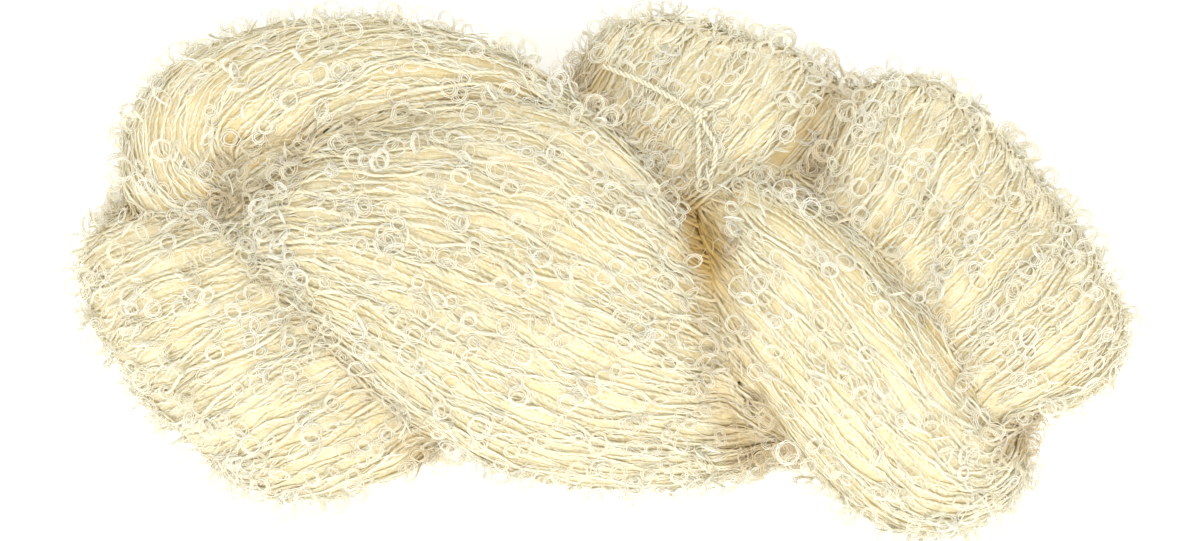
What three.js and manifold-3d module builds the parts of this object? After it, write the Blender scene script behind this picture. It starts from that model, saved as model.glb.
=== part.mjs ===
// A hank of boucle yarn: a wound skein, twisted on itself and folded, that lies on a table.
// Millimetres, +Z up. The hank lies along X, and its origin is the middle of its footprint.
// The solid has the wound form and the main twists. The fine turns and their rings are left off.
import * as THREE from "three";
import { mergeVertices } from "three/addons/utils/BufferGeometryUtils.js";
import Module from "manifold-3d";

const wasm = await Module();
wasm.setup();

// Driving sizes
const HANK_REACH = 250; // longest size of the lying hank, and more than its width and height
const PRESSED = 1.2; // how far the lying skein is pressed flat by its own weight
const TIE_YARN = 1.5; // thickness of the yarn that ties the skein
const KNOT = 4.2; // width of the tie's knot
const KNOT_HEIGHT = 3; // how high the knot stands
const GAP = 0.3; // room between the tie and the skein

// How finely the solids are drawn
const GRID = 0.02; // corners of the joined solids are settled on this grid
const SAME_CORNER = 1e-4; // corners nearer than this are one
const AROUND = 24; // corners round a bundle
const STEPS_A_ROW = 2; // steps between two sections of a bundle
const TIE_SIDES = 8; // corners round the tie's yarn
const STEPS_A_SPOT = 3; // steps between two spots of the tie
const KNOT_AROUND = 12; // corners round the knot
const KNOT_UP = 8; // steps from its lowest to its highest point

// A bundle of turns is drawn through sections. Each row gives a section's middle, its half width and
// half thickness, the way it faces (degrees from +X towards +Y) and how far its left side is tipped up.
const section = (x, y, z, wide, thick, faces, tip = 0) => ({ x, y, z, wide, thick, faces, tip });

// A squareness of 2 is an ellipse, and a higher one has fuller corners.
const BUNDLES = {
  // The big front crossing, from the pinch at the left to the deep crease
  front_crossing: {
    squareness: 2,
    sections: [
      section(-80, 7, 46, 3, 6, 40),
      section(-75.5, 8, 56, 11, 14, 20),
      section(-67, 8.5, 64, 21, 20, 4, -4),
      section(-53.5, 7, 69, 31, 24, -5, -5),
      section(-37, 3.5, 70, 39.5, 25.5, -9, -3),
      section(-18.5, -2, 69, 45, 26, -10, 3),
      section(0, -10, 65, 42, 25.5, -8, 9),
      section(14.5, -17, 58, 35.5, 24, 0, 13),
      section(24.5, -22.5, 49, 28, 21, 10, 15),
      section(31.5, -25, 41, 19, 16.5, 20, 16),
      section(36.5, -26.5, 36, 6.5, 8, 27, 10),
    ],
  },
  // Turns that rise out of the pinch, swing round the back of the left end and lie along the crossing
  shoulder: {
    squareness: 2,
    sections: [
      section(-79.5, 6, 44, 3, 5, 150),
      section(-86, 12, 52, 10, 11, 140, -6),
      section(-94.5, 20.5, 57, 16.5, 15, 115, -14),
      section(-94, 29, 59, 17.5, 16, 88, -20),
      section(-87, 35, 61, 19.5, 17, 60, -24),
      section(-75, 38.5, 64, 20, 18, 32, -28),
      section(-59.5, 41.5, 66, 18, 18, 8, -30),
      section(-42, 41.5, 67, 16, 17, -8, -32),
      section(-24.5, 38.5, 67, 12.5, 16, -22, -30),
      section(-9, 31, 66, 9, 13.5, -33, -28),
      section(4, 22.5, 64, 5, 10, -43, -20),
      section(14.5, 12.5, 61, 1.5, 4, -52),
    ],
  },
  // The inner turns of the shoulder, seen in the fold above the pinch
  inner_shoulder: {
    squareness: 2,
    sections: [
      section(-82, 9, 48, 4, 6, 110),
      section(-82, 18, 55, 8, 12, 85),
      section(-75, 25.5, 60, 10, 15, 40),
      section(-62, 28, 62, 10, 15, 6),
      section(-44, 27, 60, 9, 13, -10),
      section(-26, 23, 56, 5, 8, -18),
    ],
  },
  // The left end: turns come from under the crossing, fan out and fold down over the end
  left_end: {
    squareness: 2.3,
    sections: [
      section(-30, -0.5, 44, 20.5, 13, 222),
      section(-40.5, -4.5, 49, 26.5, 16, 222),
      section(-50, -8, 53, 32.5, 18.5, 222),
      section(-60.5, -12, 56, 38, 20, 222),
      section(-71.5, -16, 57, 42.5, 20.5, 222),
      section(-81.5, -18, 55, 43.5, 20.5, 222),
      section(-87.5, -19.5, 48, 42.5, 20, 222),
      section(-90, -20, 38, 41.5, 20, 222),
      section(-87.5, -19.5, 26, 41, 20, 222),
      section(-78.5, -17.5, 19.5, 40, 20.5, 222),
      section(-65, -14, 19.5, 37, 20, 222),
      section(-49, -11.5, 20, 28, 17, 222),
    ],
  },
  // The back of the left end, under the shoulder
  left_back: {
    squareness: 2.2,
    sections: [
      section(-89.5, 2, 22, 9.5, 14, 140),
      section(-98, 15, 22, 15.5, 21, 115),
      section(-96.5, 29, 22.5, 13.5, 22.5, 85),
      section(-86.5, 38.5, 22.5, 14.5, 22.5, 50),
      section(-70, 43, 22.5, 14, 22.5, 16),
      section(-50, 43, 22.5, 13, 22, -4),
      section(-30, 38.5, 23, 11, 20.5, -16),
      section(-11.5, 30, 25, 8, 16, -26),
      section(1, 23.5, 26, 3.5, 8, -30),
    ],
  },
  // The upper lobe: turns of the other ply, out from under the crossing and down over the far edge
  upper_lobe: {
    squareness: 2.7,
    sections: [
      section(-9.5, 1, 40, 9.5, 12, 50),
      section(0, 8, 45, 13.5, 16, 54),
      section(9.5, 17.5, 50, 19.5, 18.5, 60),
      section(18, 27, 52, 28.5, 19.5, 68),
      section(25, 35, 47, 33, 20.5, 72),
      section(27, 37, 37, 33.5, 20.5, 74),
      section(25.5, 35, 25, 33, 20.5, 72),
      section(20, 29, 19, 32, 20, 64),
      section(9.5, 17.5, 19, 28.5, 18, 52),
    ],
  },
  // The second front crossing, from the deep crease down round the near edge
  small_crossing: {
    squareness: 2.15,
    sections: [
      section(27, 7, 47, 3.5, 7, -35),
      section(31.5, 8, 55, 12, 14, -38),
      section(37, 4, 62, 19, 19, -42),
      section(46, -7, 66, 23, 22.5, -48),
      section(56.5, -20, 67, 23.5, 23.5, -50, 4),
      section(65.5, -32, 63, 23, 23.5, -50, 8),
      section(74, -41.5, 55, 20.5, 21.5, -42, 8),
      section(82, -44.5, 45, 16.5, 19.5, -10, 6),
      section(88.5, -42, 36, 12, 17, 35),
      section(92.5, -37, 31, 7, 13, 75),
      section(93.5, -31, 29, 2.5, 6, 90),
    ],
  },
  // The right end: turns fan out of the crease and fold down over the end
  right_end: {
    squareness: 2.8,
    sections: [
      section(61.5, -16.5, 44, 18.5, 14, 36),
      section(67.5, -10.5, 52, 29, 18, 37),
      section(75.5, -3.5, 57, 38.5, 20.5, 38),
      section(83, 2.5, 55, 44, 21, 39),
      section(87, 5.5, 49, 45.5, 22, 39),
      section(88, 6.5, 38, 45, 22, 39),
      section(86, 5, 26, 44.5, 21.5, 39),
      section(78.5, -0.5, 19.5, 41, 20.5, 39),
      section(68.5, -9, 20, 30, 18.5, 40),
    ],
  },
  // Underneath, both plies cross back the other way
  under_crossing: {
    squareness: 2.2,
    sections: [
      section(-62, -32, 20, 12, 14, 20),
      section(-46.5, -20, 21, 26, 21, 32),
      section(-28, -5, 21.5, 37, 23, 42),
      section(-9.5, 9, 21.5, 38, 23, 48),
      section(9, 21, 21, 30, 21, 46),
      section(20, 30, 21, 15, 14, 40),
    ],
  },
  small_under_crossing: {
    squareness: 2.2,
    sections: [
      section(18, -36, 21, 15, 14, 40),
      section(34, -27, 21, 27, 21, 44),
      section(51, -12, 21.5, 35, 23, 48),
      section(67.5, 4, 21.5, 33, 22.5, 48),
      section(82, 17, 21, 20, 17, 45),
    ],
  },
  left_underside: {
    squareness: 2.2,
    sections: [
      section(-97, 10, 20, 12, 12, 0),
      section(-82, 14, 21, 24, 19, 2),
      section(-60, 17, 21.5, 27, 21, 4),
      section(-38, 21, 21.5, 22, 20, 6),
      section(-18, 24, 21, 12, 14, 8),
    ],
  },
  // The turns hidden in the middle, between the crossings above and below
  middle: {
    squareness: 2.2,
    sections: [
      section(-96, -2, 40, 12, 10, 0),
      section(-72, -2, 43, 30, 20, 0),
      section(-40, -4, 42, 38, 24, 0),
      section(-8, -5, 40, 38, 22, 0),
      section(12, -8, 32, 34, 16, 0),
      section(28, -10, 27, 30, 14, 0),
      section(46, -10, 34, 28, 18, 0),
      section(68, -6, 40, 26, 21, 0),
      section(90, -2, 40, 12, 12, 0),
    ],
  },
};

// Catmull-Rom value of one column, at a place along the rows from 0 to their last
function along(rows, column, place) {
  const last = rows.length - 1;
  const at = Math.min(Math.floor(place), last - 1);
  const f = place - at;
  const value = (i) => {
    if (i < 0) return 2 * rows[0][column] - rows[1][column];
    if (i > last) return 2 * rows[last][column] - rows[last - 1][column];
    return rows[i][column];
  };
  const [a, b, c, d] = [value(at - 1), value(at), value(at + 1), value(at + 2)];
  const bend = (-a + 3 * b - 3 * c + d) * f ** 3;
  return 0.5 * (2 * b + (c - a) * f + (2 * a - 5 * b + 4 * c - d) * f ** 2 + bend);
}

// The middle of a bundle's section and its two half axes. The bundle's direction there is taken
// between two places this far before and after it.
const NEARBY = 0.05;
function frameAt(rows, place) {
  const middleAt = (p) => new THREE.Vector3(along(rows, "x", p), along(rows, "y", p), along(rows, "z", p));
  const before = middleAt(Math.max(place - NEARBY, 0));
  const after = middleAt(Math.min(place + NEARBY, rows.length - 1));
  const onward = after.sub(before).normalize();
  const faces = THREE.MathUtils.degToRad(along(rows, "faces", place));
  const tip = THREE.MathUtils.degToRad(along(rows, "tip", place));
  const level = Math.cos(tip);
  const side = new THREE.Vector3(-Math.sin(faces) * level, Math.cos(faces) * level, Math.sin(tip));
  const up = new THREE.Vector3().crossVectors(onward, side).normalize();
  side.multiplyScalar(along(rows, "wide", place));
  up.multiplyScalar(along(rows, "thick", place));
  return { middle: middleAt(place), side, up };
}

// Shared corners only, as joining and cutting need
function bare(geometry) {
  geometry.deleteAttribute("normal");
  geometry.deleteAttribute("uv");
  return mergeVertices(geometry, SAME_CORNER);
}

function solidOf(geometry) {
  const vertProperties = new Float32Array(geometry.attributes.position.array);
  const triVerts = new Uint32Array(geometry.index.array);
  return new wasm.Manifold(new wasm.Mesh({ numProp: 3, vertProperties, triVerts }));
}

// Joining leaves slivers where bundles meet. Corners are settled on a fine grid, so that those which
// fall together are one, and the faces that have no area left, or lie back to back, are dropped.
function geometryOf(solid) {
  const mesh = solid.getMesh();
  const geometry = new THREE.BufferGeometry();
  const settled = Float32Array.from(mesh.vertProperties, (v) => Math.round(v / GRID) * GRID);
  geometry.setAttribute("position", new THREE.BufferAttribute(settled, 3));
  geometry.setIndex(new THREE.BufferAttribute(new Uint32Array(mesh.triVerts), 1));
  const merged = mergeVertices(geometry, GRID / 4);
  const corners = merged.index.array;
  const faces = new Map();
  for (let i = 0; i < corners.length; i += 3) {
    const face = [corners[i], corners[i + 1], corners[i + 2]];
    if (new Set(face).size < 3) continue;
    const key = [...face].sort((a, b) => a - b).join();
    if (faces.has(key)) faces.delete(key);
    else faces.set(key, face);
  }
  merged.setIndex([...faces.values()].flat());
  return merged;
}

// A closed cylinder whose wall is drawn out through the bundle's sections
function bundleSolid({ squareness, sections }) {
  const steps = (sections.length - 1) * STEPS_A_ROW;
  const geometry = bare(new THREE.CylinderGeometry(1, 1, 1, AROUND, steps));
  const points = geometry.attributes.position;
  const full = (v) => Math.sign(v) * Math.abs(v) ** (2 / squareness);
  for (let i = 0; i < points.count; i += 1) {
    const place = Math.round((points.getY(i) + 0.5) * steps) / STEPS_A_ROW;
    const { middle, side, up } = frameAt(sections, place);
    middle.addScaledVector(side, full(points.getX(i)));
    middle.addScaledVector(up, -full(points.getZ(i)));
    points.setXYZ(i, middle.x, middle.y, middle.z - PRESSED);
  }
  return solidOf(geometry);
}

// The skein: all bundles joined, and flat where it lies on the table
function hankSolid() {
  const table = new THREE.BoxGeometry(2 * HANK_REACH, 2 * HANK_REACH, HANK_REACH);
  table.translate(0, 0, -HANK_REACH / 2);
  let skein = bundleSolid(BUNDLES.middle);
  for (const [name, bundle] of Object.entries(BUNDLES)) {
    if (name !== "middle") skein = skein.add(bundleSolid(bundle));
  }
  return skein.subtract(solidOf(bare(table)));
}

const hank = new THREE.Mesh(
  geometryOf(hankSolid()),
  new THREE.MeshStandardMaterial({ color: "#f3ead0", roughness: 0.9, metalness: 0 }),
);
hank.name = "hank";

// The tie lies on the upper lobe. Its runs are seen from above, in the same frame as the sections.
const spot = (x, y) => ({ x, y });
const KNOT_SPOT = spot(22.8, 35.6);
const TIE_RUNS = {
  round_the_lobe: [
    spot(1, 46.6),
    spot(4, 45.6),
    spot(9, 43.6),
    spot(14, 41),
    spot(18.6, 38.2),
    KNOT_SPOT,
  ],
  buried_side: [KNOT_SPOT, spot(26, 37.4), spot(29.8, 39.2)],
  long_end: [KNOT_SPOT, spot(22.6, 32), spot(22.9, 28), spot(22.6, 23.5), spot(23.2, 19)],
  curled_end: [KNOT_SPOT, spot(24.6, 32.4), spot(26.6, 28.6), spot(26.4, 24.4), spot(24.9, 21.2)],
};

// A point at a height above the skein, square to its surface
function above(place, height) {
  const start = new THREE.Vector3(place.x, place.y, HANK_REACH);
  const hit = new THREE.Raycaster(start, new THREE.Vector3(0, 0, -1)).intersectObject(hank)[0];
  return hit.point.addScaledVector(hit.face.normal, height);
}

function tieRun(spots) {
  const radius = TIE_YARN / 2;
  const route = new THREE.CatmullRomCurve3(spots.map((place) => above(place, radius + GAP)));
  const outline = new THREE.Shape();
  for (let i = 0; i < TIE_SIDES; i += 1) {
    const angle = (2 * Math.PI * i) / TIE_SIDES;
    const corner = [radius * Math.cos(angle), radius * Math.sin(angle)];
    if (i === 0) outline.moveTo(...corner);
    else outline.lineTo(...corner);
  }
  const steps = (spots.length - 1) * STEPS_A_SPOT;
  const options = { steps, bevelEnabled: false, extrudePath: route };
  return solidOf(bare(new THREE.ExtrudeGeometry(outline, options)));
}

function tieSolid() {
  const knot = bare(new THREE.SphereGeometry(1, KNOT_AROUND, KNOT_UP));
  knot.scale(KNOT / 2, KNOT / 2, KNOT_HEIGHT / 2);
  knot.translate(...above(KNOT_SPOT, KNOT_HEIGHT / 2 + GAP));
  let tie = solidOf(knot);
  for (const spots of Object.values(TIE_RUNS)) tie = tie.add(tieRun(spots));
  return tie;
}

const tie = new THREE.Mesh(
  geometryOf(tieSolid()),
  new THREE.MeshStandardMaterial({ color: "#f8f2de", roughness: 0.85, metalness: 0 }),
);
tie.name = "tie";

// The origin is put at the middle of the footprint
const skein = new THREE.Group();
skein.add(hank, tie);
const middle = new THREE.Box3().setFromObject(hank).getCenter(new THREE.Vector3());
skein.position.set(-middle.x, -middle.y, 0);

export default skein;
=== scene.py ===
# A hank of undyed mohair boucle yarn: a wound skein, twisted on itself and folded, on a pale table.
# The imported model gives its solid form. This script lays the turns of yarn, their rings and their
# hairs on that form. Tables are in millimetres and everything that is built is in metres.
import math
from collections import namedtuple

import bmesh
import bpy
import numpy as np
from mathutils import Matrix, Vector
from mathutils.bvhtree import BVHTree


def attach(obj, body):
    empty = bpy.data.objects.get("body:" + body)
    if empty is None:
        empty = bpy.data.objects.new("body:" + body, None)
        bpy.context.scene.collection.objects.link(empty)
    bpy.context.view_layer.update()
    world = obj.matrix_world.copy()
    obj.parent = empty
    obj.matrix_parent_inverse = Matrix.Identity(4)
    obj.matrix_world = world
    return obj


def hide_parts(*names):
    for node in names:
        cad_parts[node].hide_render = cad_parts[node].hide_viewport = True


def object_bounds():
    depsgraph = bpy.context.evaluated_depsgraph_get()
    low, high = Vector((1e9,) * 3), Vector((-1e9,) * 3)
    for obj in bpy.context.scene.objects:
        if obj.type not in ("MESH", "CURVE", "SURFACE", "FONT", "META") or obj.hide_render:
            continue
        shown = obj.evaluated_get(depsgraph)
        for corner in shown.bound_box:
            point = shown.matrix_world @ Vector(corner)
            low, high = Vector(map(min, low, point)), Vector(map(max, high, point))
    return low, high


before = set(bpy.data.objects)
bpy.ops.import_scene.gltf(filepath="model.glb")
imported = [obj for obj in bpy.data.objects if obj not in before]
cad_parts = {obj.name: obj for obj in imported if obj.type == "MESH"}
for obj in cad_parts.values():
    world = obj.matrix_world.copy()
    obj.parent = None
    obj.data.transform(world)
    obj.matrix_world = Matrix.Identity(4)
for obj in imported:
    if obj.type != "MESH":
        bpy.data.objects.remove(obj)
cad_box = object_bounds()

MM = 0.001
draw = np.random.default_rng(23)

# The photograph's frame, and the real size of one of its pixels at the height of the hank's middle
PHOTO_WIDE = 1200
PIXEL = 0.2326 * MM
PHOTO_MIDDLE = (-0.6 * MM, 1.1 * MM)
MIDDLE_HEIGHT = 45 * MM
CAMERA_DISTANCE = 2.2

# The studio, in metres and watts
STUDIO_LIGHT = 1.3
SOFT_BOX_SPOT = (0.1, -0.7, 1.2)
SOFT_BOX_AIM = 0.03  # height that it points at, over the middle of the table
SOFT_BOX_WIDE = 0.8
SOFT_BOX_POWER = 8
FLOOR_HALF_WIDE = 4
FLOOR_GLOW = 0.2

# The turns of yarn. Each has three sides, the flat one outward, because there are thousands of them.
PRESSED = 1.2  # how far the lying skein is pressed flat by its own weight
TURN_STEP = 2.5  # distance between two sections of a turn
TURN_WIDE = 1.15  # full width of a two-ply turn
TURN_WIDTHS = (0.55, 1.25)  # shares of that width along a turn, which is nowhere even
TURN_THICK = 0.7
TURN_SIDES = 3
TURN_SOFTNESS = 0.4  # how far the shading of a turn is evened out across it, from 0 to 1
LEAST_SECTIONS = 4  # a shorter stretch of a turn isn't drawn
TWIST_LENGTH = 3.8  # length of yarn in which its two plies go once round each other
BODY_DEPTH = 2.15  # how far under the tips of the rings the dense mass of yarn lies
BODY_FACE = 3.8  # size of its faces
BODY_REST = 0.6  # its height over the table, where it is pressed flat
END_LIFT = 0.4  # how far the turns lie over the flat end of a bundle
END_STEPS = 5  # points of a turn there
END_FROM = 0.95  # where it leaves the edge of that end, as a share of the way out from the end's middle
END_TO = (0.05, 0.8)  # and where it stops
LEAST_LEFT = 0.4  # share of a section's size that is left at any depth
UNSEEN = 1.5  # what lies this much deeper in the skein than its own layer isn't drawn

# The two layers of turns: the distance between neighbours, how deep they lie under the tips of their
# rings, how far they stray to the side and inward, by how many degrees they cross the others, how pale
# they are from 0 to 1, and how much darker they are painted with each mm that they sink in: painted shade
LAYERS = [
    dict(pitch=1.7, depth=2.0, sideways=1.0, inward=0.16, skew=6, tint=(0.25, 0.8), painted_sink_shade=0.25),
    dict(pitch=6.0, depth=1.5, sideways=1.4, inward=0.35, skew=14, tint=(0.5, 1.0), painted_sink_shade=0.2),
]
TINT_WAVE = (9.0, 24.0)  # a turn gets paler and darker along its length, in waves of this length
TINT_SWING = 0.24
STRAY_WAVES = (34, 11, 21, 9)  # lengths of the waves in which it strays, two to the side and two inward

# Loose yarn lies over the creases between two bundles and makes them shallow and soft. The form is evened
# out on a grid, and only the hole in the middle stays deep.
GRID_STEP = 2.0
EVENED = 6.0  # spread of the evening out
FILL_STEPS = 10  # a point is moved out of a crease in this many steps at most
FILL_STRIDE = 1.5  # longest step
FILL_MOST = 10.0  # longest way in all
FILL_SHADE = 0.4  # painted shade: the yarn that lies in a crease is closed in by its neighbours and is coloured darker
FILL_SHADE_REACH = 6.0  # and fully so where it was moved this far
FILL_TURNS_OUT = 2.0  # a point that was moved this far faces out of the evened form
HOLE_SPOT = (24.0, 5.0)
HOLE_WAY = (0.24, -0.97)
HOLE_LONG = 11.0
HOLE_WIDE = 4.5
HOLE_OPEN = 0.55  # share of the filling that is left out there
# painted shade: how much darker the yarn at the hole in the middle is coloured; it also gets fewer rings and
# hairs there
HOLE_SHADE = 0.8

# The rings
RING_SPACING = 22.0  # yarn between two rings
RING_WIDE = (4.2, 6.3)  # outer size of a ring
RING_BAND = (1.0, 1.7)  # width of the band that its filaments make
RING_TURNS = (2.0, 2.8)
RING_STEPS_A_TURN = 9
RING_YARN = 0.26  # thickness of a ring's fluffy filaments
THIN_SIDES = 3  # sides of a filament, a wisp or a hair, of which there are thousands
RING_OVAL = (0.82, 1.08)  # how long a ring is across, as a share of its length
RING_UNEVEN = 0.12  # how far a filament strays in its band, as a share of it
RING_RISE = (0.1, 0.6)  # how far the last filament lies over the first
RING_SEAT = 0.4  # height of its first point over the middle of its turn
RING_SKEW = 0.7  # how unevenly the rings point across the yarn, in radians
RING_ROLL = 0.3
STANDING_LIFT = (0.6, 1.5)  # how steeply a standing ring rises, in radians
LYING_LIFT = (0.1, 0.2)  # the same for a lying one, as middle and spread
RINGS_STANDING = 0.5  # share of the rings that stand up
RINGS_SPREAD_OUT = 0.6  # share of those standing on the hank's sides that spread out level, like a rim
SIDE_CROWDING = 0.7  # spacing of the rings on the sides, where fewer are pressed in
UNDERSIDE_THINNING = 3.5  # how much sparser rings and hairs are where the skein lies on the table
RINGS_FROM = 0.5  # how free a turn lies where the first rings show
RINGS_FULL = 0.9  # and where all show
CREASE_REACH = 22  # how far a neighbour can lie that closes the yarn in
LOOKS_ROUND = 6  # ways in which a neighbour is looked for
LOOKS_FROM = 0.7  # how far over the tips of the rings they start

# The looks of the fibres
STREAK_CONTRAST = 1.2
PLY_GROOVE_RELIEF_AND_SHADE = 2.4  # contrast between a ply's round and the groove beside it: a bump, and painted shade in the groove with painted light on the round
PAINTED_CREASE_SHADE = "#cfae68"  # painted shade: the colour of yarn in a deep crease, where the light that reaches it has gone through much yarn
CLOSED_IN = (0.05, 0.7)  # from where to where that painted shade takes over, by how closed in the yarn lies
VEIL_TONE = "#fbf5dd"  # patches where fluff lies over the yarn like a veil
VEIL = 0.35
VEIL_PATCHES = 60.0  # patches in a metre
VEIL_EDGE = (0.45, 0.72)
FLUFF_SIZES = (3.6, 2.3)  # size of the curls of the finest hairs, which lie over everything
FLUFF_THIN = 0.035
FLUFF = 0.65
FIBRE_ROUGHNESS = 0.6
FIBRE_SPECULAR = 0.25
FIBRE_SHEEN = 0.15
SHEEN_ROUGHNESS = 0.5

# Loose wisps of a few fibres each
WISPS = 3000
WISP_THICK = 0.28
WISP_POINTS = 9
WISP_STEP = 1.6
WISP_STRAYS = 0.8
WISP_CURLS = (4, 8)  # length of a wisp's curls
WISP_SWINGS = (0.2, 0.7)  # how far a curl swings to the side
WISP_HEIGHTS = (0.3, 0.9)
WISP_RISES = (0.1, 0.5)

# Single hairs
TURN_HAIRS = 5500
RING_HAIRS = 2500
HAIR_LENGTH = (3.0, 9.0)
HAIR_CURL = (0.6, 3.2)  # how far it bends, in radians
HAIRS_FROM = 0.4  # how free the yarn lies where the first hairs show
HAIRS_FULL = 0.9
HAIR_OUT = (0.1, 1.0)  # how far it starts out of the hank
HAIR_ON = (0.2, 1.3)  # and along its yarn
HAIR_STRAY = 0.4
HAIR_POINTS = 4
HAIR_THICK = 0.11  # real mohair is 0.04 mm thick, too fine to show from this distance

# The tie: a short length of the same yarn round the upper lobe, with a knot and two free ends. Its
# spots are in the tables' frame.
TIE_YARN = 1.25
TIE_PLY = 0.72
TIE_SIDES = 5
TIE_TWIST = 3.2
TIE_STEP = 0.4
TIE_HEIGHT = 0.5
KNOT_SPOT = (22.8, 35.6)
KNOT_WIDE = 3.0
KNOT_LONG = 2.6
KNOT_TURNS = 2.4
KNOT_STEPS_A_TURN = 14
TIE_RING = 4.3  # the ring at its curled end
TIE_RING_SIDES = 4
TIE_RUNS = {
    "round_the_lobe": [(1, 46.6), (4, 45.6), (9, 43.6), (14, 41), (18.6, 38.2), KNOT_SPOT],
    "buried_side": [KNOT_SPOT, (26, 37.4), (29.8, 39.2)],
    "long_end": [KNOT_SPOT, (22.6, 32), (22.9, 28), (22.6, 23.5), (23.2, 19)],
    "curled_end": [KNOT_SPOT, (24.6, 32.4), (26.6, 28.6), (26.4, 24.4), (24.9, 21.2)],
}


def section(x, y, z, wide, thick, faces, tip=0):
    """Middle, half width and half thickness in mm, the way it faces and its left side's rise in degrees"""
    return x, y, z, wide, thick, faces, tip


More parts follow.
